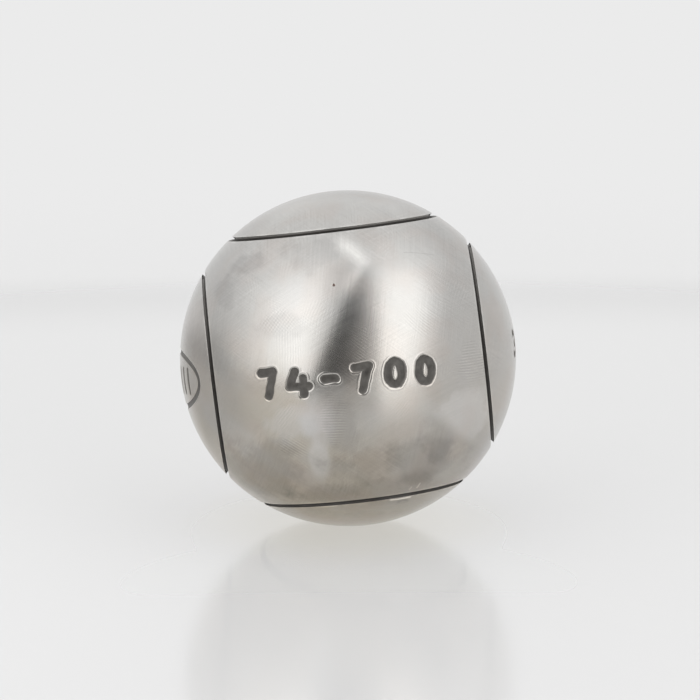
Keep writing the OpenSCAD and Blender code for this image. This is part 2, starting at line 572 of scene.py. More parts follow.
def add_bevel(piece, pole, facing):
    """Adds the bevel from the weld's edge down to the root, a band of straight lines, and gives its
    angles. facing is 1 on a shell and -1 on the weld."""
    loop, angle = weld_loop(pole)
    out = round_y(angle)
    root = ROOT_R * out + ROOT_GAP / 2 * pole
    normal = facing * unit(BEVEL_SLOPE * out - pole)
    piece.add_grid(np.stack([loop, root]), np.stack([normal, normal]))
    return angle


print("points round one edge of the weld:", len(weld_loop(FRONT)[0]))

# %% The three pieces
def half_shell(name, pole, field):
    """One half shell: field, caps and grooves outside, then the bevel, root face, skirt and half ball."""
    piece = Piece()
    field_shares = add_field(piece, pole, **field)
    for cap, block, shares in zip(CAPS, BLOCKS, field_shares):
        cap_shares = add_half_cap(piece, cap, block, pole)
        add_half_groove(piece, cap, pole, shares, cap_shares)
    angle = add_bevel(piece, pole, 1)
    gap = ROOT_GAP / 2
    add_turned(piece, pole, angle, [(ROOT_R, gap), (CAVITY_R, gap)], [(0, -1), (0, -1)])
    add_turned(piece, pole, angle, [(CAVITY_R, gap), (CAVITY_R, SKIRT_H)], [(-1, 0), (-1, 0)])
    bowl = np.linspace(0, math.pi / 2, STEPS_BOWL + 1)
    bowl_out = np.stack([np.cos(bowl), np.sin(bowl)], 1)
    add_turned(piece, pole, angle, CAVITY_R * bowl_out + np.array([0, SKIRT_H]), -bowl_out)
    return piece.make(name)


def weld_seam(name):
    """The weld: a band of the sphere that crosses caps, grooves and bridges, the two bevels, the filled
    root gap and the bead that swells into the cavity."""
    piece = Piece()
    across = np.linspace(-1, 1, STEPS_WELD + 1)
    f = across * EDGE_Y
    for cap, block in zip(CAPS, BLOCKS):
        axis, side = cap
        piece.add_grid(*skin(spread(cap, FRONT, f[:, None], seam_places(block, f))))
        for points, normals in SECTION.values():
            rho, h = points.T[..., None]
            places = across * weld_edge(rho, h)
            for sign in (-1, 1):
                s = sign * np.sqrt(rho**2 - places**2)
                out = s[..., None] * side + places[..., None] * FRONT
                normal = normals[:, 0, None, None] * out / rho[..., None] + normals[:, 1, None, None] * axis
                piece.add_grid(h[..., None] * axis + out, normal)
        level_r = np.sqrt(BALL_R**2 - f**2)
        start = np.arccos(FIELD_RIM[1] / level_r)
        turn = start + (math.pi / 2 - 2 * start) * np.linspace(0, 1, STEPS_BRIDGE + 1)[:, None]
        level = np.cos(turn)[..., None] * axis + np.sin(turn)[..., None] * side
        piece.add_grid(*skin(level_r[:, None] * level + f[:, None] * FRONT))
    gap, bead = ROOT_GAP / 2, BEAD_W / 2
    for pole in (FRONT, -FRONT):
        angle = add_bevel(piece, pole, -1)
        add_turned(piece, pole, angle, [(ROOT_R, gap), (CAVITY_R, gap)], [(0, 1), (0, 1)])
        add_turned(piece, pole, angle, [(CAVITY_R, gap), (CAVITY_R, bead)], [(1, 0), (1, 0)])
    arc_r = (bead**2 + BEAD_H**2) / (2 * BEAD_H)
    arc = np.linspace(-1, 1, STEPS_BEAD + 1) * math.asin(bead / arc_r)
    bead_out = np.stack([-np.cos(arc), np.sin(arc)], 1)
    add_turned(piece, FRONT, angle, arc_r * bead_out + np.array([CAVITY_R - BEAD_H + arc_r, 0]), bead_out)
    return piece.make(name)


PLAIN_FIELD = {"half_x": 14 * MM, "half_z": 14 * MM, "drop": 0.0, "steps_x": 96, "steps_z": 96}
WORD_FIELD = {"half_x": 23.2 * MM, "half_z": 5.2 * MM, "drop": FRONT_DROP, "steps_x": 360, "steps_z": 84}
PIECES = [
    (half_shell("front_shell", FRONT, WORD_FIELD), "front_half_shell", "shell_steel"),
    (half_shell("rear_shell", -FRONT, PLAIN_FIELD), "rear_half_shell", "shell_steel"),
    (weld_seam("weld_seam"), "weld_ring", "weld_steel"),
]
for piece, node, slot in PIECES:
    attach(piece, "root")
    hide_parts(node)
print("replaced nodes:", [node for _, node, _ in PIECES])

# %% [markdown]
# ## Shader sums as sums
# A finish is worked out point by point from the place on the ball. A small class lets a value in a node
# tree be added and multiplied like a number, so that each step of the finish reads as the formula that it
# is.


# %% A socket that can be reckoned with
# A mix node has several sockets of the same name, so its colours go by number.
MIX_FROM = 6
MIX_TO = 7
MIX_RESULT = 2


class Shade:
    """A value, colour or vector in a node tree. Arithmetic on shades adds the nodes for it."""

    def __init__(self, socket):
        self.socket = socket

    def node(self, kind, inputs, output=0, **settings):
        """Adds any node: its settings, then a value or shade for each named or numbered input."""
        tree = self.socket.id_data
        node = tree.nodes.new(kind)
        for name, value in settings.items():
            setattr(node, name, value)
        for name, value in inputs.items():
            if isinstance(value, Shade):
                tree.links.new(value.socket, node.inputs[name])
            else:
                node.inputs[name].default_value = value
        return Shade(node.outputs[output])

    def math(self, operation, *values):
        """A sum of numbers, or of vectors where this is a vector."""
        if self.socket.type != "VECTOR":
            return self.node("ShaderNodeMath", dict(enumerate(values)), operation=operation)
        values = [(value,) * 3 if isinstance(value, (int, float)) else value for value in values]
        return self.node("ShaderNodeVectorMath", dict(enumerate(values)), operation=operation)

    def vector(self, operation, *values, output="Vector"):
        """Vector maths on this and the values. A result of one number, such as a length, is a Value."""
        inputs = dict(enumerate((self, *values)))
        return self.node("ShaderNodeVectorMath", inputs, output, operation=operation)

    def dot(self, direction):
        """How far this vector reaches in a direction of length 1."""
        return self.vector("DOT_PRODUCT", direction, output="Value")

    def scale(self, vector):
        """The given vector times this value."""
        return self.node("ShaderNodeVectorMath", {0: vector, "Scale": self}, operation="SCALE")

    def sine(self):
        """Its sine, where a full turn is twice pi."""
        return self.math("SINE", self)

    def size(self):
        """Its size without its sign."""
        return self.math("ABSOLUTE", self)

    def between(self, low, high):
        """0 at low, 1 at high, an S-curve in between."""
        inputs = {"Value": self, "From Min": low, "From Max": high}
        return self.node("ShaderNodeMapRange", inputs, interpolation_type="SMOOTHSTEP")

    def noise(self, size, detail=2.0, roughness=0.5):
        """Cloudy values from 0 to 1 at this place, with clouds about this size."""
        inputs = {"Vector": self, "Scale": 1 / size, "Detail": detail, "Roughness": roughness}
        return self.node("ShaderNodeTexNoise", inputs)

    def mix(self, colour, share, way="MIX"):
        """This colour turned into another by a share."""
        inputs = {"Factor": share, MIX_FROM: self, MIX_TO: colour}
        return self.node("ShaderNodeMix", inputs, MIX_RESULT, data_type="RGBA", blend_type=way)


SUMS = (("add", "ADD"), ("sub", "SUBTRACT"), ("mul", "MULTIPLY"), ("truediv", "DIVIDE"))
for name, operation in SUMS:
    setattr(Shade, f"__{name}__", lambda a, b, operation=operation: a.math(operation, a, b))
    setattr(Shade, f"__r{name}__", lambda a, b, operation=operation: a.math(operation, b, a))


def new_material(name):
    """A material with its shader node and its Object coordinates, which are metres from the ball's
    centre."""
    material = bpy.data.materials.new(name)
    material.use_nodes = True
    nodes = material.node_tree.nodes
    place = Shade(nodes.new("ShaderNodeTexCoord").outputs["Object"])
    return material, nodes["Principled BSDF"], place


def feed(shader, **values):
    """Links shades to, or sets values on, the shader's inputs; _ in a name stands for a space."""
    for name, value in values.items():
        socket = shader.inputs[name.replace("_", " ")]
        if isinstance(value, Shade):
            shader.id_data.links.new(value.socket, socket)
        else:
            socket.default_value = value


def grey(value):
    """A colour with this value in all three channels."""
    return (value, value, value, 1.0)


def blend(share, colour, other):
    """One plain colour turned into another by a share."""
    inputs = {"Factor": share, MIX_FROM: colour, MIX_TO: other}
    return share.node("ShaderNodeMix", inputs, MIX_RESULT, data_type="RGBA")


def layered(share, under, over):
    """One shader where the share is 0, the other where it is 1, and both in part in between."""
    return under.node("ShaderNodeMixShader", {0: share, 1: under, 2: over})


print("sums on shades:", [name for name, _ in SUMS])


# %% [markdown]
# ## Satin steel, scale, handling marks and painted highlights
# The ball is polished on a wheel after hardening. The wheel leaves fine lines in a few directions and,
# where it chattered, patches of close ripples. Hardening scale stays only where the wheel can't reach: in
# the grooves and in the stamped strokes. Both lie below the sphere, so the depth below it tells steel
# from scale.

# %% Colours, and where steel turns into scale
STEEL = (0.515, 0.509, 0.497, 1.0)
STRAW = (0.94, 0.88, 0.77, 1.0)
ROSE = (0.98, 0.91, 0.875, 1.0)
PIT_BROWN = (0.12, 0.075, 0.06, 1.0)
SCALE_DARK = (0.026, 0.022, 0.018, 1.0)
SCALE_LIGHT = (0.115, 0.108, 0.098, 1.0)
# Painted light: the lighter grey painted on the grooves' outer half, most of all high on the ball.
PAINTED_LIT_SCALE = (0.30, 0.285, 0.265, 1.0)
STEEL_ROUGH = 0.205
SCALE_ROUGH = 0.5
SCALE_METAL = 0.25
SCALE_FROM = 0.05 * MM
SCALE_FULL = 0.14 * MM
SCALE_THICK = 0.75 * MM
print("steel turns into scale", SCALE_FULL, "m below the sphere")

# %% Clouds that the finish is mixed from
CLOUDS = {
    "tint": {"size": 16 * MM, "detail": 3.0},
    "patch": {"size": 9 * MM, "shift": (0.1, 0.2, 0.3)},
    "blotch": {"size": 6 * MM, "detail": 3.0, "roughness": 0.55, "shift": (0.5, 0.1, 0.2)},
    "mottle": {"size": 2.0 * MM, "detail": 4.0, "roughness": 0.6},
    "fine": {"size": 0.5 * MM, "roughness": 0.6},
    "bend": {"size": 11 * MM, "detail": 1.0, "shift": (0.2, 0.4, 0.6)},
    "line": {"size": 0.42 * MM, "detail": 3.0, "roughness": 0.65},
    "brushed": {"size": 14 * MM, "detail": 1.0, "shift": (0.0, 0.7, 0.1)},
    "chattered": {"size": 8 * MM, "detail": 1.0, "shift": (0.9, 0.0, 0.4)},
}
PATCH_CORE = 0.45
RAGGED = 1.6


def cloud(place, name):
    """The named cloud at this place, from 0 to 1. A shift takes it from another part of the noise, so
    that two clouds don't follow each other."""
    kind = dict(CLOUDS[name])
    shift = kind.pop("shift", None)
    return (place + shift if shift else place).noise(**kind)


def patch_cover(place, ragged, middle, reach):
    """1 inside an ellipsoid of these half-sizes in millimetres, 0 outside it, with a soft edge that
    ragged moves about."""
    middle, shares = (tuple(values) for values in (np.array(middle) * MM, 1 / (np.array(reach) * MM)))
    return (((place - middle) * shares).vector("LENGTH", output="Value") + ragged).between(1.0, PATCH_CORE)


print("clouds:", list(CLOUDS))

# %% [markdown]
# ## Brush lines and ripples
# The wheel passes over the ball in three ways. Noise that is drawn out along a way gives its fine lines.
# Where the wheel chattered it left close ripples: a sine of the distance across the way, bent a little.
# They are only micrometres deep, so they could not be part of the mesh. They show as tone and as a slight
# bump.

# %% Brush lines and ripples
BRUSH_WAYS = [(0.64, 0.0, 0.77), (-0.45, 0.2, 0.87), (0.95, 0.1, -0.30)]
BRUSH_STRETCH = 0.05
BRUSH_SPREAD = (1.0, 0.7, 0.4)
BRUSH_SHIFT = 0.3
BRUSH_RANGE = (0.38, 0.62)
CHATTER_SHIFT = 0.5
CHATTER_RANGE = (0.54, 0.66)
CHATTER_BLOTCHES = (0.42, 0.62)
CHATTER_TONE = 0.028
RIPPLE_STEP = 0.56 * MM
RIPPLE_BEND = 5 * MM
PATCH_BEND_SHARE = 0.4
PATCH_BREAKS = (0.25, 0.6)
# Each patch of ripples: its middle and half-sizes in millimetres, the wheel's way, and its tone.
RIPPLES = [
    ((-4.4, -35.3, -9.3), (3.2, 20, 6.5), (0.1, 0.0, 1.0), 0.12),
    ((26.3, -26.5, -3.4), (4.0, 20, 6.5), (-0.15, 0.2, 1.0), 0.09),
    ((-14.5, -32.8, -8.0), (4.6, 20, 3.6), (0.8, 0.0, -0.6), 0.06),
    ((-12.1, -34.5, 5.4), (4.0, 20, 6.0), (1.0, 0.0, -0.1), 0.05),
    ((9.9, -34.4, -9.5), (3.4, 20, 3.0), (0.66, 0.0, -0.75), 0.08),
    ((-13.0, -30.8, -15.4), (4.2, 20, 3.6), (0.6, 0.0, 0.8), 0.11),
    ((-13.1, -32.3, 12.2), (5.0, 20, 3.4), (0.75, 0.0, 0.66), 0.05),
    ((-13.1, -32.3, 12.2), (5.0, 20, 3.4), (-0.75, 0.0, 0.66), 0.05),
    ((16.4, -32.1, 8.6), (4.4, 20, 4.4), (0.7, 0.0, 0.7), 0.06),
    ((0.5, -36.6, 4.2), (5.5, 20, 7.5), (0.62, 0.0, 0.78), 0.10),
]
print("ways of the wheel:", len(BRUSH_WAYS), "ripple patches placed by hand:", len(RIPPLES))


# %% Laying lines and ripples over the ball
def across_way(place, way):
    """Distance from the ball's middle square to the wheel's lines."""
    return place.dot(tuple(unit(np.array(way))))


def wheel_lines(place, way, turn):
    """Fine lines about 0: noise that hardly changes along them and quickly across, in patches where they
    show."""
    spread = across_way(place, way).scale(BRUSH_SPREAD)
    shown = cloud(place + (BRUSH_SHIFT * turn, 0.0, 0.0), "brushed").between(*BRUSH_RANGE)
    return (cloud(place * BRUSH_STRETCH + spread, "line") - 0.5) * shown


def ripple_wave(across):
    """A wave from -1 to 1 that repeats at every ripple: the sine of the distance as a share of a full
    turn."""
    return (across * (2 * math.pi / RIPPLE_STEP)).sine()


def wheel_ripples(place, bend, blotch, mottle):
    """Ripples about 0: a sine of the distance across each way, faint in scattered patches and plain in
    the patches that are listed."""
    ripple = 0.0
    for turn, way in enumerate(BRUSH_WAYS):
        wave = ripple_wave(across_way(place, way) + bend)
        shown = cloud(place + (0.0, CHATTER_SHIFT * turn, 0.0), "chattered").between(*CHATTER_RANGE)
        ripple = wave * shown * blotch.between(*CHATTER_BLOTCHES) * CHATTER_TONE + ripple
    for middle, reach, way, tone in RIPPLES:
        wave = ripple_wave(across_way(place, way) + bend * PATCH_BEND_SHARE) * tone
        cover = patch_cover(place, (blotch - 0.5) * RAGGED, middle, reach)
        ripple = ripple + wave * cover * mottle.between(*PATCH_BREAKS)
    return ripple


print("ripples repeat every", RIPPLE_STEP, "m")

# %% [markdown]
# ## Spots, painted highlights and nicks
# The steel is darker in some cloudy patches and paler in others; the paler spots are painted reflection
# that lightens the steel. Nicks run along the grooves, and the pale ones are painted highlights. Each spot
# is an ellipsoid laid over the sphere and each nick a line on it, so their places are points in the ball's
# own millimetres. The lips of the grooves are painted paler: a painted highlight.

# %% Spots, painted highlights on the lips, and nicks
BRUSH_TONE = 0.22
FINE_TONE = 0.09
BLOTCH_TONE = 0.12
# Painted shade: the steel is darker towards the bottom of the ball.
LOW_SHADE_TONE = 0.12
LOW_SHADE_RANGE = (6 * MM, 28 * MM)
# Painted highlight: the lips of the grooves are paler.
LIP_HIGHLIGHT_REACH = 0.4 * MM
LIP_HIGHLIGHT_TONE = 0.22
LIP_HIGHLIGHT_BLOTCHES = (0.42, 0.6)
# Each spot: its middle and half-sizes in millimetres, its tone, and how ragged its edge is. Spots with a
# tone above 0 are painted reflection that lightens the steel.
SPOTS = [
    ((8.2, -19.2, -30.7), (1.7, 2.4, 0.7), -0.22, 1.2),
    ((-19.1, -20.0, 24.1), (5.5, 30, 2.4), -0.14, RAGGED),
    ((-24.0, -21.0, 18.1), (2.6, 30, 4.5), -0.10, RAGGED),
    ((-12.3, -32.6, 11.2), (6.5, 30, 3.4), -0.08, RAGGED),
    ((17.2, -27.0, -17.6), (5.0, 30, 6.2), -0.14, RAGGED),
    ((12.6, -27.0, -21.9), (12, 30, 6.5), -0.14, RAGGED),
    ((-22.0, -25.0, -20.5), (14, 30, 9.5), -0.17, RAGGED),
    ((-2.3, -34.5, -13.3), (4.0, 30, 8.5), -0.12, RAGGED),
    ((-9.0, -26.0, -26.5), (9, 30, 3.0), -0.06, RAGGED),
    ((2.0, -25.0, -27.2), (22, 30, 4.6), -0.11, 1.0),
    ((1.5, -30.0, -21.0), (11, 30, 4.5), -0.09, RAGGED),
    ((-12.5, -34.0, -9.5), (8.0, 30, 5.5), 0.09, RAGGED),
    ((-7.9, -34.0, -10.0), (5.2, 30, 7.5), 0.04, 1.0),
    ((-8.7, -30.0, -18.4), (2.9, 30, 6.6), 0.15, 0.7),
    ((24.1, -26.5, -12.5), (8.0, 30, 7.0), 0.18, RAGGED),
    ((-5.5, -27.0, 24.5), (7.5, 30, 4.5), -0.09, RAGGED),
    ((4.0, 20.0, 30.0), (12, 30, 9), -0.1, RAGGED),
    ((-36.0, 0.0, 0.0), (12, 19, 6.6), -0.12, 0.2),
]
LINE_FULL = 0.35
# Each nick: its two ends and half its width in millimetres, and its tone. Lines with a tone above 0 are
# painted highlights, the lit side of a nick.
SCRATCHES_AND_GLINTS = [
    ((5.6, -21.0, -29.9), (9.8, -19.4, -30.0), 0.38, 1.0),
    ((-9.4, -20.0, -29.95), (-6.2, -21.2, -29.95), 0.26, 0.25),
    ((11.5, -21.5, -27.9), (12.2, -22.2, -27.0), 0.3, 0.4),
    ((9.8, -22.1, -28.0), (10.3, -22.5, -27.5), 0.26, 0.3),
    ((7.5, -18.9, -30.9), (8.8, -18.4, -30.9), 0.26, 0.25),
    ((14.6, -25.5, 23.1), (21.0, -22.0, 21.6), 0.14, -0.12),
    ((-20.0, 28.0, 9.0), (-9.0, 34.0, 12.0), 0.16, -0.16),
    ((16.0, 31.0, -12.0), (24.0, 27.0, -5.0), 0.16, 0.18),
]
print("spots:", len(SPOTS), "scratches:", len(SCRATCHES_AND_GLINTS))


# %% Laying spots, painted highlights and nicks over the steel
def line_cover(place, start, end, width):
    """1 on a nick's line and 0 beside it; pale ones are painted highlights. Seen from the ball's centre,
    the point is dropped square onto the line between its ends, and what counts is how far apart the two lie
    on the sphere."""
    start, end = (unit(np.array(point)) for point in (start, end))
    along = end - start
    way = place.vector("NORMALIZE")
    share = (way - tuple(start)).dot(tuple(along)) / float(along @ along)
    share = place.node("ShaderNodeClamp", {"Value": share, "Min": 0.0, "Max": 1.0})
    foot = share.scale(tuple(along)) + tuple(start)
    half_angle = width * MM / BALL_R
    return way.vector("DISTANCE", foot.vector("NORMALIZE"), output="Value").between(
        half_angle, LINE_FULL * half_angle
    )


def groove_height(place):
    """The larger of the distances from the centre along the x and the z axis. All four grooves lie where
    it is GROOVE_OFFSET."""
    sides = place.vector("ABSOLUTE")
    along = [sides.dot(tuple(axis)) for axis in (RIGHT, TOP)]
    return along[0].math("MAXIMUM", *along)


def marks_and_painted_light(place, tone, blotch):
    """Adds the lips' painted highlight, the spots and the nicks to the tone. Pale spots are painted
    reflection and pale nicks are painted highlights. Also gives the share of pale spots, which have less
    tint."""
    beside = groove_height(place) - GROOVE_OFFSET
    # Painted highlight: the lips of the grooves are made paler.
    lip = beside.size().between(GROOVE_W / 2 + LIP_HIGHLIGHT_REACH, GROOVE_W / 2 + LIP)
    tone = tone + lip * blotch.between(*LIP_HIGHLIGHT_BLOTCHES) * LIP_HIGHLIGHT_TONE
    pale = 0.0
    for middle, reach, spot_tone, ragged in SPOTS:
        cover = patch_cover(place, (blotch - 0.5) * ragged, middle, reach)
        tone = tone + cover * spot_tone
        # Spots with a tone above 0 are painted reflection, and take less tint.
        if spot_tone > 0:
            pale = cover + pale
    # Lines with a tone above 0 are painted highlights.
    for start, end, width, line_tone in SCRATCHES_AND_GLINTS:
        tone = tone + line_cover(place, start, end, width) * line_tone
    return tone, pale


# The paler lips are a painted highlight.
print("lips are burnished up to", GROOVE_W / 2 + LIP_HIGHLIGHT_REACH, "m from the middle of a groove")

# %% [markdown]
# ## Heat tint and scale
# Hardening leaves straw and rose tints, most of all low on the ball. One small pit is rusty. Scale is dark
# where it is thick, in the bottom of grooves and strokes, and lighter at their rims. On the outer half of
# each groove the scale is painted a lighter grey, most of all high on the ball: painted light, where that
# wall faces the light.

# %% Tint, pit and scale
WARM_LOW = (-20 * MM, 26 * MM)
WARM_LEFT = (-24 * MM, 20 * MM)
WARM_ALL_SHARE = 0.08
WARM_LOW_SHARE = 0.5
WARM_LEFT_SHARE = 0.75
PALE_COOL_SHARE = 0.5
TINT_CLOUDS = (0.25, 0.65)
TINT_CLOUD_SHARE = 0.6
ROSE_PATCHES = (0.4, 0.66)
ROSE_PATCH_SHARE = 0.4
ROSE_LOW_SHARE = 0.16
PIT = (-1.1 * MM, -32.3 * MM, 18.1 * MM)
PIT_R = 0.42 * MM
PIT_CORE_SHARE = 0.4
SCALE_UNEVEN = 0.5 * MM
SCALE_SPECKLE = 0.6
# Where the groove's scale is painted a lighter grey, as painted light.
LIT_GREY_FROM = GROOVE_OFFSET - 0.1 * MM
LIT_GREY_FULL = GROOVE_OFFSET + 0.25 * MM
LIT_GREY_END = GROOVE_OFFSET + GROOVE_W
LIT_GREY_HIGH = 26 * MM
LIT_GREY_HIGH_SHARE = 0.85
LIT_GREY_SPECKS = (0.2, 0.6)
LIT_GREY_SPECK_SHARE = 0.4
print("pit at", PIT, "radius", PIT_R)


# %% Colour of the steel and of the scale
def steel_colour(place, tone, pale, warmth, pit):
    """Steel times straw tint, times rose tint, times tone, with the pit on top. warmth is tint all
    over."""
    low_side = place.dot(tuple(-TOP)).between(*WARM_LOW)
    left_side = place.dot(tuple(-RIGHT)).between(*WARM_LEFT)
    warm = WARM_ALL_SHARE + low_side * (WARM_LOW_SHARE + left_side * WARM_LEFT_SHARE)
    warm = warm * (1 - pale * PALE_COOL_SHARE)
    cloudy = cloud(place, "tint").between(*TINT_CLOUDS)
    straw = warm * (cloudy * TINT_CLOUD_SHARE + (1 - TINT_CLOUD_SHARE)) + warmth
    rose = cloud(place, "patch").between(*ROSE_PATCHES) * ROSE_PATCH_SHARE + low_side * ROSE_LOW_SHARE
    colour = place.node("ShaderNodeRGB", {})
    colour.socket.default_value = STEEL
    colour = colour.mix(STRAW, straw, "MULTIPLY").mix(ROSE, rose, "MULTIPLY")
    colour = colour.mix(tone.scale((1.0, 1.0, 1.0)), 1.0, "MULTIPLY")
    return colour.mix(PIT_BROWN, pit)


def scale_colour(place, depth, mottle):
    """Light scale where it is thin and dark where it is thick, with specks, and painted light on the
    grooves'
    outer half: a lighter grey, most of all high on the ball."""
    thick = (depth + (mottle - 0.5) * SCALE_UNEVEN).between(SCALE_FULL, SCALE_THICK)
    colour = blend(thick + (mottle - 0.5) * SCALE_SPECKLE, SCALE_LIGHT, SCALE_DARK)
    height = groove_height(place)
    # Painted light: the scale on each groove's outer half is lighter, most of all high on the ball.
    painted_lit = height.between(LIT_GREY_FROM, LIT_GREY_FULL) * height.between(LIT_GREY_END, GROOVE_OFFSET + GROOVE_W / 2)
    painted_lit = painted_lit * (place.dot(tuple(TOP)).between(0.0, LIT_GREY_HIGH) * LIT_GREY_HIGH_SHARE + (1 - LIT_GREY_HIGH_SHARE))
    painted_lit = painted_lit * (mottle.between(*LIT_GREY_SPECKS) * LIT_GREY_SPECK_SHARE + (1 - LIT_GREY_SPECK_SHARE))
    return colour.mix(PAINTED_LIT_SCALE, painted_lit)


# The lighter grey is painted light.
print("scale is worn from", LIT_GREY_FROM, "to", LIT_GREY_END, "m along x or z")

# %% The steel, with bump heights in millimetres
BRUSH_H = 0.006
RIPPLE_H = 0.02
FINE_H = 0.0015
SCALE_H = 0.03
PIT_H = 0.12
MOTTLE_ROUGH = 0.05
TINT_ROUGH = 0.06


def steel_material(name, warmth):
    """Polished steel that turns into scale below the sphere. warmth is the share of heat tint all over."""
    material, shader, place = new_material(name)
    depth = BALL_R - place.vector("LENGTH", output="Value")
    scale = depth.between(SCALE_FROM, SCALE_FULL)
    clean = 1 - scale
    blotch, mottle, fine = (cloud(place, kind) for kind in ("blotch", "mottle", "fine"))
    brush = 0.0
    for turn, way in enumerate(BRUSH_WAYS):
        brush = wheel_lines(place, way, turn) + brush
    ripple = wheel_ripples(place, cloud(place, "bend") * RIPPLE_BEND, blotch, mottle)

    tone = 1 + brush * BRUSH_TONE + ripple + (fine - 0.5) * FINE_TONE + (blotch - 0.5) * BLOTCH_TONE
    # Painted shade: darker towards the bottom of the ball.
    tone = tone - place.dot(tuple(-TOP)).between(*LOW_SHADE_RANGE) * LOW_SHADE_TONE
    tone, pale = marks_and_painted_light(place, tone, blotch)
    pit = place.vector("DISTANCE", PIT, output="Value").between(PIT_R, PIT_CORE_SHARE * PIT_R)
    colour = steel_colour(place, tone, pale, warmth, pit).mix(scale_colour(place, depth, mottle), scale)

    height = (brush * BRUSH_H + ripple * RIPPLE_H + fine * FINE_H) * clean
    height = height + mottle * SCALE_H * scale - pit * PIT_H
    bump = place.node("ShaderNodeBump", {"Height": height, "Distance": MM, "Strength": 1.0})
    rough = STEEL_ROUGH + (mottle - 0.5) * MOTTLE_ROUGH + (cloud(place, "tint") - 0.5) * TINT_ROUGH
    feed(shader, Base_Color=colour, Roughness=rough * clean + scale * SCALE_ROUGH)
    feed(shader, Metallic=1 - scale * (1 - SCALE_METAL), Normal=bump)
    return material


WELD_WARMTH = 0.1
MATERIALS = {
    "shell_steel": steel_material("satin_steel", 0.0),
    "weld_steel": steel_material("weld_steel", WELD_WARMTH),
}
for piece, _, slot in PIECES:
    piece.data.materials.append(MATERIALS[slot])
print("materials:", [material.name for material in MATERIALS.values()])

# %% [markdown]
# ## The camera
# The camera looks down at the ball a little, through a long lens. BALL_PIXEL is where the ball's centre
# lies in the picture and FOCAL_PIXELS is how long the lens is in picture pixels. Both were found from the
# ball's outline and its four grooves, and so was the direction of the look.

# %% Camera
PICTURE_W = 700
BALL_PIXEL = (347.98, 358.19)
FOCAL_PIXELS = 3490
SENSOR_W = 36.0
CAMERA_AWAY = 769.5 * MM
LOOK = unit(np.array([-0.0003, 0.9975, -0.0710]))
HEAD_UP = np.array([0.1183, 0.0706, 0.9905])
LOOK_RIGHT = unit(np.cross(LOOK, HEAD_UP))
LOOK_UP = np.cross(LOOK_RIGHT, LOOK)

camera_data = bpy.data.cameras.new("camera")
camera_data.sensor_width = SENSOR_W
camera_data.lens = SENSOR_W * FOCAL_PIXELS / PICTURE_W
camera = bpy.data.objects.new("camera", camera_data)
to_ball = unit(LOOK + (BALL_PIXEL[0] - PICTURE_W / 2) / FOCAL_PIXELS * LOOK_RIGHT
               - (BALL_PIXEL[1] - PICTURE_W / 2) / FOCAL_PIXELS * LOOK_UP)
camera_turn = Matrix(np.stack([LOOK_RIGHT, LOOK_UP, -LOOK], 1).tolist()).to_4x4()
camera.matrix_world = Matrix.Translation((-CAMERA_AWAY * to_ball).tolist()) @ camera_turn
bpy.context.scene.collection.objects.link(camera)
bpy.context.scene.camera = camera
bpy.context.scene.view_settings.view_transform = "Standard"
print("camera at", [round(value, 4) for value in camera.matrix_world.translation])

# %% [markdown]
# ## The photographer's table
# The ball lies on a glossy white sheet in front of a pale backdrop. In the part's own frame the ball lies
# tipped, as it came to rest, so the table is tipped here. The sheet is a single square that fades out far
# from the ball, so that no edge shows from any side.

# %% The sheet's place
TABLE_UP = unit(np.array([0.1108, -0.1400, 0.9839]))
TABLE_HALF_W = 600 * MM
table_away = unit(LOOK - (LOOK @ TABLE_UP) * TABLE_UP)
table_right = np.cross(table_away, TABLE_UP)
table_mesh = bpy.data.meshes.new("table")
ends = np.array([-TABLE_HALF_W, TABLE_HALF_W])
table_x, table_y = np.meshgrid(ends, ends, indexing="ij")
table_points = np.stack([table_x, table_y, 0 * table_x], -1).reshape(-1, 3)
table_mesh.from_pydata(table_points, [], grid_faces(2, 2).tolist())
table = bpy.data.objects.new("table", table_mesh)
table_turn = Matrix(np.stack([table_right, table_away, TABLE_UP], 1).tolist()).to_4x4()
table.matrix_world = Matrix.Translation((-BALL_R * TABLE_UP).tolist()) @ table_turn
bpy.context.scene.collection.objects.link(table)
print("table's half width", TABLE_HALF_W)

# %% [markdown]
# ## The sheet's finish
# The sheet is partly clear, so that it takes on the backdrop's own tone and no horizon shows, partly matt
# white, which catches the ball's soft shadow, and it has a gloss that mirrors the ball's foot. Close to
# the ball it is painted warmer and clearer, so paler: painted light, standing in for the light that the
# steel throws down, which also lightens the ball's shadow there. The gloss is kept to the sheet's near
# part and away from glancing views, where a real sheet's small waves break the mirror up.

# %% The sheet's finish
TABLE_WHITE = 0.70
TABLE_CLEAR = 0.58
# Painted light near the ball: the sheet is made clearer, so paler in the ball's shadow, and warmer.
SHADOW_FILL_CLEAR = 0.16
PAINTED_WARM_REACH = 42 * MM
PAINTED_WARM_WHITE = (0.80, 0.75, 0.60, 1.0)
PAINTED_WARM_CLEAR = (1.0, 0.985, 0.94, 1.0)
SHEET_FULL = 190 * MM
SHEET_GONE = 480 * MM
SHEET_IOR = 1.5
GLOSS_ROUGH = 0.16
GLOSS_MIDDLE = (0.0, -90 * MM, 0.0)
GLOSS_FULL = 50 * MM
GLOSS_GONE = 210 * MM
FLAT_FROM = 0.12
FLAT_TO = 0.22
FACING_BLEND = 0.5

material, shader, place = new_material("glossy_white_sheet")
away = place.vector("LENGTH", output="Value")
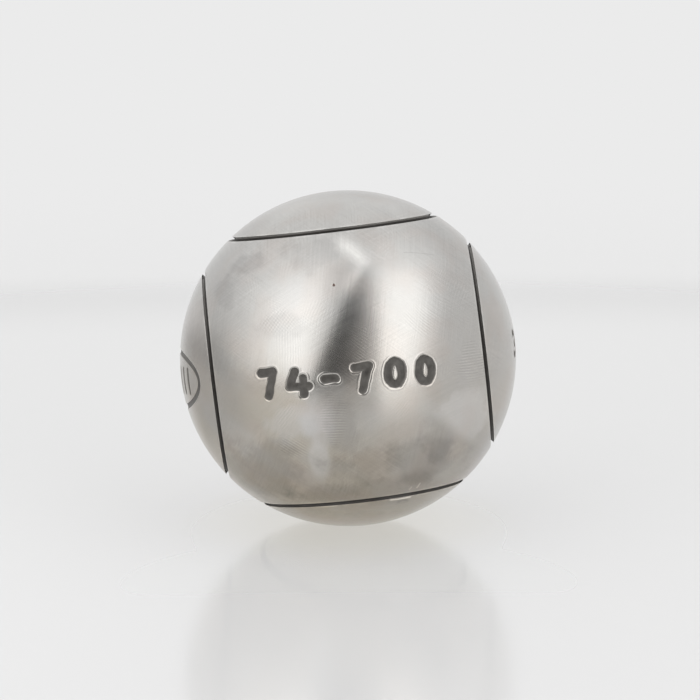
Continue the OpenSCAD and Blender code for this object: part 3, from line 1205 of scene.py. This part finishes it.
# Painted light: close to the ball the sheet is warmer and clearer.
near = away.between(PAINTED_WARM_REACH, 0.0)
white = blend(near, grey(TABLE_WHITE), PAINTED_WARM_WHITE)
tint = blend(near, grey(1.0), PAINTED_WARM_CLEAR)
matt = place.node("ShaderNodeBsdfDiffuse", {"Color": white})
clear = place.node("ShaderNodeBsdfTransparent", {"Color": tint})
body = layered(near * SHADOW_FILL_CLEAR + TABLE_CLEAR, matt, clear)
gloss = place.node("ShaderNodeBsdfAnisotropic", {"Color": grey(1.0), "Roughness": GLOSS_ROUGH})
fresnel = place.node("ShaderNodeFresnel", {"IOR": SHEET_IOR})
steep = 1 - place.node("ShaderNodeLayerWeight", {"Blend": FACING_BLEND}, "Facing")
wet = place.vector("DISTANCE", GLOSS_MIDDLE, output="Value").between(GLOSS_GONE, GLOSS_FULL)
sheen = fresnel * wet * steep.between(FLAT_FROM, FLAT_TO)
sheet = layered(sheen, body, gloss)
surface = layered(away.between(SHEET_FULL, SHEET_GONE), sheet, clear)
material.node_tree.links.new(surface.socket, material.node_tree.nodes["Material Output"].inputs["Surface"])
table_mesh.materials.append(material)
print("sheet fades out from", SHEET_FULL, "to", SHEET_GONE)

# %% [markdown]
# ## The backdrop
# The backdrop is the world's colour at its plain strength, so it lights the ball as a pale room does.
# Where the table's far end meets the wall, a narrow band is a touch darker. Its height is the rise of the
# direction above the table's plane, and it is below zero because the camera looks down on the table's far
# end.

# %% Backdrop
BACKDROP = 0.831
BACKDROP_FOOT = 0.757
FOOT_RISE = -0.1938
FOOT_FROM = -0.187
FOOT_TO = -0.205
world = bpy.data.worlds.new("backdrop")
world.use_nodes = True
background = world.node_tree.nodes["Background"]
way = Shade(world.node_tree.nodes.new("ShaderNodeTexCoord").outputs["Generated"])
rise = way.dot(tuple(TABLE_UP))
foot = rise.between(FOOT_FROM, FOOT_RISE) * rise.between(FOOT_TO, FOOT_RISE)
backdrop = blend(foot, grey(BACKDROP), grey(BACKDROP_FOOT))
world.node_tree.links.new(backdrop.socket, background.inputs["Color"])
bpy.context.scene.world = world
print("backdrop", BACKDROP, "with a band of", BACKDROP_FOOT)

# %% [markdown]
# ## Light panels and dark cloths
# A polished ball shows everything round it. Two lit cloths left and right of the camera make the two soft
# bright fields; the dark gap between them, where the photographer stands, makes the wedge, and a narrow
# dark tip draws its upper end. A brighter strip above, with a fainter tail, makes the slanting streak, and
# one more cloth hardens the gap's right side. Over the ball hangs a dimmer cloth, and two dull flags keep
# its left and right limb from going white. Each is a patch of a large sphere round the ball, placed by
# degrees right of and above the camera as the ball sees them, with soft edges.

# %% Panels
PANEL_AWAY = 1500 * MM
PANEL_STEPS = 24
NO_ANGLE = 1e-9
# Each panel: its glow, how far it is as a share of PANEL_AWAY, its corners in degrees from the lower left
# one counter-clockwise, and the soft share of its width at its left, right, bottom and top.
PANELS = [
    {"name": "left_light", "glow": 1.88, "away": 1.0,
     "corners": [(-94, -16), (-19, -38), (10, 95), (-104, 97)], "soft": (0.82, 0.26, 0.26, 0.5)},
    {"name": "right_light", "glow": 1.9, "away": 1.0,
     "corners": [(17, -50), (53, -50), (92, 106), (11, 106)], "soft": (0.22, 0.6, 0.25, 0.56)},
    {"name": "dark_gap", "glow": 0.08, "away": 0.9,
     "corners": [(-36, -40), (36, -40), (16, 70), (7, 60)], "soft": (0.02, 0.76, 0.34, 0.29)},
    {"name": "top_light", "glow": 1.02, "away": 1.1,
     "corners": [(-125, 62), (100, 58), (60, 150), (-75, 160)], "soft": (0.25, 0.22, 0.15, 0.25)},
    {"name": "gap_side", "glow": 1.9, "away": 0.88,
     "corners": [(6, 22), (62, 22), (62, 70), (6, 70)], "soft": (0.9, 0.4, 0.35, 0.3)},
    {"name": "streak", "glow": 2.4, "away": 0.85,
     "corners": [(10.5, 61.5), (18, 68), (-8.5, 96.4), (-15.5, 89.6)], "soft": (0.45, 0.45, 0.15, 0.5)},
    {"name": "streak_tail", "glow": 1.8, "away": 0.87,
     "corners": [(-10, 43), (-3.5, 38.5), (15, 64), (7, 69)], "soft": (0.5, 0.25, 0.6, 0.2)},
    {"name": "gap_tip", "glow": 0.08, "away": 0.84,
     "corners": [(0.6, 45.4), (6.4, 42.6), (16.4, 62.6), (11.6, 65.4)], "soft": (0.4, 0.5, 0.5, 0.4)},
    {"name": "left_flag", "glow": 0.52, "away": 1.1,
     "corners": [(-140, -110), (-46, -50), (-96, 36), (-165, 44)], "soft": (0.3, 0.3, 0.3, 0.3)},
    {"name": "right_flag", "glow": 0.82, "away": 1.1,
     "corners": [(92, -20), (150, -40), (150, 50), (95, 40)], "soft": (0.3, 0.3, 0.3, 0.3)},
]


def panel_directions(corners):
    """Directions over a panel: places between its corners, in degrees right of and above the camera, are
    turned into directions from the ball, where the distance from the middle of that map is the angle off
    the camera."""
    u, v = np.meshgrid(np.linspace(0, 1, PANEL_STEPS + 1), np.linspace(0, 1, PANEL_STEPS + 1))
    u, v = u[..., None], v[..., None]
    low_left, low_right, high_right, high_left = np.radians(np.array(corners, float))
    flat = (1 - v) * ((1 - u) * low_left + u * low_right) + v * ((1 - u) * high_left + u * high_right)
    angle = np.maximum(np.linalg.norm(flat, axis=-1, keepdims=True), NO_ANGLE)
    sideways = (flat[..., :1] * LOOK_RIGHT + flat[..., 1:] * LOOK_UP) / angle
    return np.sin(angle) * sideways - np.cos(angle) * LOOK, np.concatenate([u, v], -1)


def light_panel(name, glow, away, corners, soft):
    """A glowing or dark cloth with soft edges: its share of cover rises from 0 at each edge to 1 over the
    soft share of its width."""
    directions, places = panel_directions(corners)
    mesh = bpy.data.meshes.new(name)
    points = (PANEL_AWAY * away * directions).reshape(-1, 3)
    mesh.from_pydata(points, [], grid_faces(*directions.shape[:2]).tolist())
    layer = mesh.uv_layers.new(name="cover")
    corner_vertex = np.empty(len(mesh.loops), np.int32)
    mesh.loops.foreach_get("vertex_index", corner_vertex)
    layer.data.foreach_set("uv", places.reshape(-1, 2)[corner_vertex].astype(np.float32).ravel())
    material = bpy.data.materials.new(name)
    material.use_nodes = True
    nodes = material.node_tree.nodes
    nodes.remove(nodes["Principled BSDF"])
    place = Shade(nodes.new("ShaderNodeUVMap").outputs["UV"])
    parts = [place.dot((1.0, 0.0, 0.0)), place.dot((0.0, 1.0, 0.0))]
    left, right, bottom, top = soft
    cover = parts[0].between(0.0, left) * parts[0].between(1.0, 1.0 - right)
    cover = cover * parts[1].between(0.0, bottom) * parts[1].between(1.0, 1.0 - top)
    glow_shader = place.node("ShaderNodeEmission", {"Color": grey(1.0), "Strength": glow})
    clear = place.node("ShaderNodeBsdfTransparent", {})
    surface = layered(cover, clear, glow_shader)
    material.node_tree.links.new(surface.socket, nodes["Material Output"].inputs["Surface"])
    mesh.materials.append(material)
    panel = bpy.data.objects.new(name, mesh)
    bpy.context.scene.collection.objects.link(panel)
    panel.visible_camera = False


for panel in PANELS:
    light_panel(**panel)
print("panels:", [panel["name"] for panel in PANELS])
